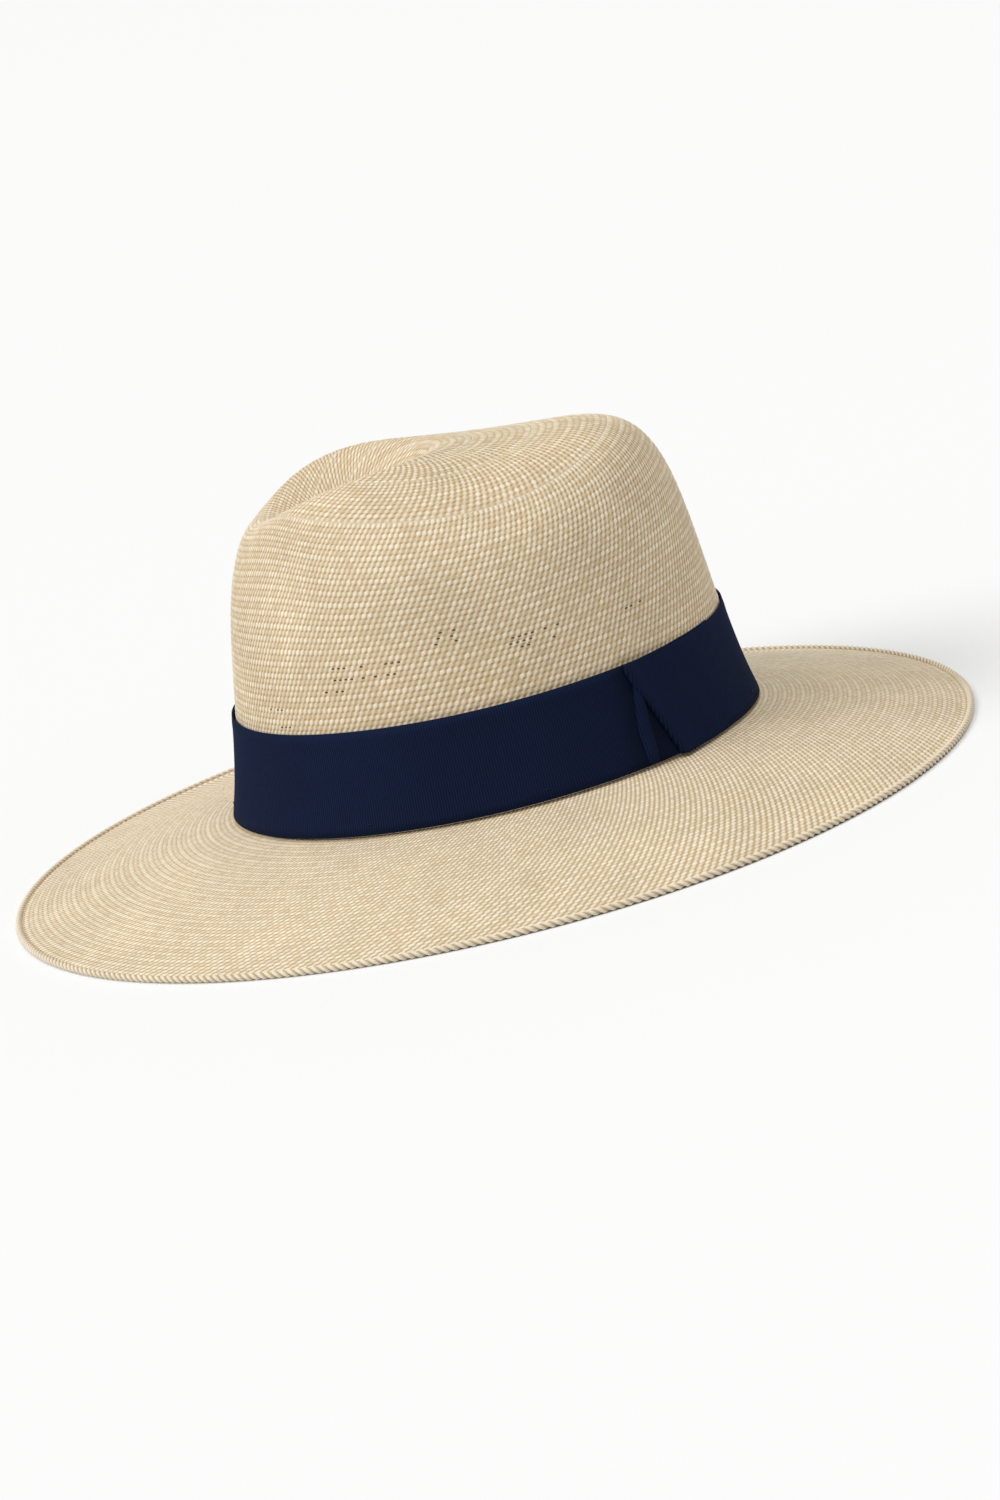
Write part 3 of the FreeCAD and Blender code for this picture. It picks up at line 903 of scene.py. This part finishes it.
class HAT_OT_sweatband(bpy.types.Operator):
    """Sew the sweatband inside, with its joint tape, blank label and stitches"""

    bl_idname = "hat.sweatband"
    bl_label = "Sweatband"

    def execute(self, context):
        cloth = bpy.data.materials["Sweat cloth"]

        def sweat_grow(angle, height):
            hem = smooth_step((height - 2.0) / 0.8) * smooth_step((SWEAT_HEIGHT - 1.5 - height) / 0.8)
            return SWEAT_FACE - 0.12 * (1.0 - hem) + 0.06 * rib_wave(angle, SWEAT_RIBS)

        def sweat_relief(angle, height):
            return 0.5 - 0.5 * rib_wave(angle, SWEAT_RIBS)

        band = wrapped_piece(
            "sweat_cloth", (0.0, 360.0), (0.2, SWEAT_HEIGHT), sweat_grow, (SWEAT_RIBS * 4, 16),
            thickness=0.9, relief=sweat_relief, flip=True)
        dress(band, cloth)
        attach(band, BODY)
        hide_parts("sweatband")

        half = math.degrees(JOINT_HALF / (CROWN_LENGTH / 2.0 * 0.86))

        def patch_grow(angle, height):
            return SWEAT_FACE - 0.5 + 0.05 * rib_wave(angle, TAPE_RIBS)

        def patch_relief(angle, height):
            return 0.5 + 0.5 * rib_wave(angle, TAPE_RIBS)

        tape = wrapped_piece(
            "sweat_joint", (90.0 - half, 90.0 + half), (0.2, SWEAT_HEIGHT), patch_grow, (60, 24),
            thickness=0.45, relief=patch_relief, flip=True)
        dress(tape, bpy.data.materials["Sweat tape"])
        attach(tape, BODY)
        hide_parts("sweatband_joint")

        label_low, label_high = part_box("size_label")
        near = math.degrees(math.acos(label_low.x / MM / (CROWN_WIDTH / 2.0 - 4.0)))
        far = math.degrees(math.acos(label_high.x / MM / (CROWN_WIDTH / 2.0 - 4.0)))
        heights = (label_low.z / MM - FOOT_Z, label_high.z / MM - FOOT_Z)

        def label_grow(angle, height):
            return SWEAT_FACE - 0.45 + 0.03 * numpy.cos(1.9 * height * math.pi)

        def label_relief(angle, height):
            return 0.5 + 0.5 * numpy.cos(1.9 * height * math.pi)

        label = wrapped_piece(
            "blank_label", (far, near), heights, label_grow, (48, 40),
            thickness=0.4, relief=label_relief, flip=True)
        dress(label, bpy.data.materials["Label cloth"])
        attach(label, BODY)
        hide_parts("size_label")

        spots = []
        for number in range(STITCHES):
            angle = 2.0 * math.pi * (number + 0.5) / STITCHES
            place, direction = wall_spot(angle, STITCH_HEIGHT, SWEAT_FACE - 0.22)
            if place.y > 0.0 and abs(place.x) < STITCH_GAP:
                continue
            spots.append((place, direction))
        stitches = thread_mesh("sweat_stitches", spots, 0.0036, 0.0003)
        dress(stitches, bpy.data.materials["Cream thread"])
        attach(stitches, BODY)
        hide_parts("sweatband_stitches")
        return {"FINISHED"}


class HAT_OT_finishes(bpy.types.Operator):
    """Make the materials"""

    bl_idname = "hat.finishes"
    bl_label = "Finishes"

    def execute(self, context):
        colours = context.scene.hat_colours
        pale, tan, valley_shade = colours.pale_straw, colours.tan_straw, colours.straw_valley_shade
        straw_material("Woven straw", pale, tan, valley_shade)
        straw_material("Straw roll", pale, tan, valley_shade)
        # The second colour of each cloth is painted shade between its ribs.
        cloth_material("Navy ribbon", colours.navy, colours.navy_shade, 0.75, 0.0, 1500.0, shine=0.08)
        cloth_material("Navy thread", colours.navy, colours.navy_shade, 0.6, 0.0, 2500.0, shine=0.1)
        cloth_material("Sweat cloth", colours.cloth, colours.sweatband_shade, 0.85, 0.15, 1200.0)
        cloth_material("Sweat tape", colours.cloth, colours.sweatband_shade, 0.7, 0.2, 1800.0)
        cloth_material("Label cloth", colours.label, colours.cloth, 0.5, 0.3, 1600.0)
        cloth_material("Cream thread", colours.label, colours.cloth, 0.6, 0.3, 2500.0)
        return {"FINISHED"}


def soft_sun(name, source, spread, strength, tint):
    """A wide soft light from a direction, the same all over the floor."""
    data = bpy.data.lights.new(name, "SUN")
    data.angle = math.radians(spread)
    data.energy = strength
    data.color = tint
    light = bpy.data.objects.new(name, data)
    light.rotation_euler = (-Vector(source)).to_track_quat("-Z", "Y").to_euler()
    bpy.context.collection.objects.link(light)


def add_camera():
    """The camera, low on the wearer's left and rolled to one side."""
    data = bpy.data.cameras.new("Camera")
    data.sensor_fit = "VERTICAL"
    data.sensor_height = 36.0
    data.lens = LENS
    data.shift_x = LENS_SHIFT[0]
    data.shift_y = LENS_SHIFT[1]
    data.clip_end = 100.0
    camera = bpy.data.objects.new("Camera", data)
    target = Vector((0.0, CAMERA_AIM_Y, FOOT_Z * MM))
    rise = math.radians(CAMERA_RISE)
    back = Vector((math.cos(rise), 0.0, math.sin(rise)))
    right = Vector((0.0, 1.0, 0.0))
    up = back.cross(right)
    roll = math.radians(CAMERA_ROLL)
    across = right * math.cos(roll) + up * math.sin(roll)
    above = up * math.cos(roll) - right * math.sin(roll)
    turn = Matrix((across, above, back)).transposed()
    camera.matrix_world = Matrix.Translation(target + back * CAMERA_DISTANCE) @ turn.to_4x4()
    bpy.context.collection.objects.link(camera)
    bpy.context.scene.camera = camera


class HAT_OT_stage(bpy.types.Operator):
    """Set the floor, the lights and the camera"""

    bl_idname = "hat.stage"
    bl_label = "Stage"

    def execute(self, context):
        disc = bmesh.new()
        bmesh.ops.create_circle(disc, cap_ends=True, segments=96, radius=14.0)
        mesh = bpy.data.meshes.new("floor")
        disc.to_mesh(mesh)
        disc.free()
        floor = bpy.data.objects.new("floor", mesh)
        context.collection.objects.link(floor)
        material, shader = new_material("Floor")
        shader.inputs["Base Color"].default_value = (*context.scene.hat_colours.floor, 1.0)
        shader.inputs["Roughness"].default_value = 0.9
        mesh.materials.append(material)
        world = bpy.data.worlds.new("Studio")
        world.use_nodes = True
        world.node_tree.nodes["Background"].inputs["Color"].default_value = (1.0, 0.970, 0.90, 1.0)
        world.node_tree.nodes["Background"].inputs["Strength"].default_value = 0.50
        context.scene.world = world
        context.scene.view_settings.view_transform = "Standard"
        soft_sun("Key light", (0.35, -0.95, 0.9), 30.0, 1.62, (1.0, 0.985, 0.96))
        soft_sun("Top light", (0.1, 0.1, 1.0), 40.0, 1.10, (1.0, 0.995, 0.985))
        add_camera()
        return {"FINISHED"}


class HAT_PT_panel(bpy.types.Panel):
    """The hat's pieces, sizes and colours"""

    bl_idname = "HAT_PT_panel"
    bl_label = "Straw fedora"
    bl_space_type = "VIEW_3D"
    bl_region_type = "UI"
    bl_category = "Hat"

    def draw(self, context):
        for step in STEPS:
            self.layout.operator("hat." + step)
        for group in (context.scene.hat_sizes, context.scene.hat_colours):
            for name in group.__annotations__:
                self.layout.prop(group, name)


STEPS = ("stage", "finishes", "crown", "brim", "edge", "ribbon", "sweatband")
CLASSES = (
    HatSizes, HatColours, HAT_OT_stage, HAT_OT_finishes, HAT_OT_crown, HAT_OT_brim, HAT_OT_edge,
    HAT_OT_ribbon, HAT_OT_sweatband, HAT_PT_panel)


def register():
    """Adds the operators, the panel and the settings to Blender."""
    for item in CLASSES:
        bpy.utils.register_class(item)
    bpy.types.Scene.hat_sizes = PointerProperty(type=HatSizes)
    bpy.types.Scene.hat_colours = PointerProperty(type=HatColours)


def unregister():
    """Takes them away again."""
    del bpy.types.Scene.hat_colours
    del bpy.types.Scene.hat_sizes
    for item in reversed(CLASSES):
        bpy.utils.unregister_class(item)


def main():
    """Builds the hat step by step."""
    register()
    for step in STEPS:
        getattr(bpy.ops.hat, step)()


if __name__ == "__main__":
    main()
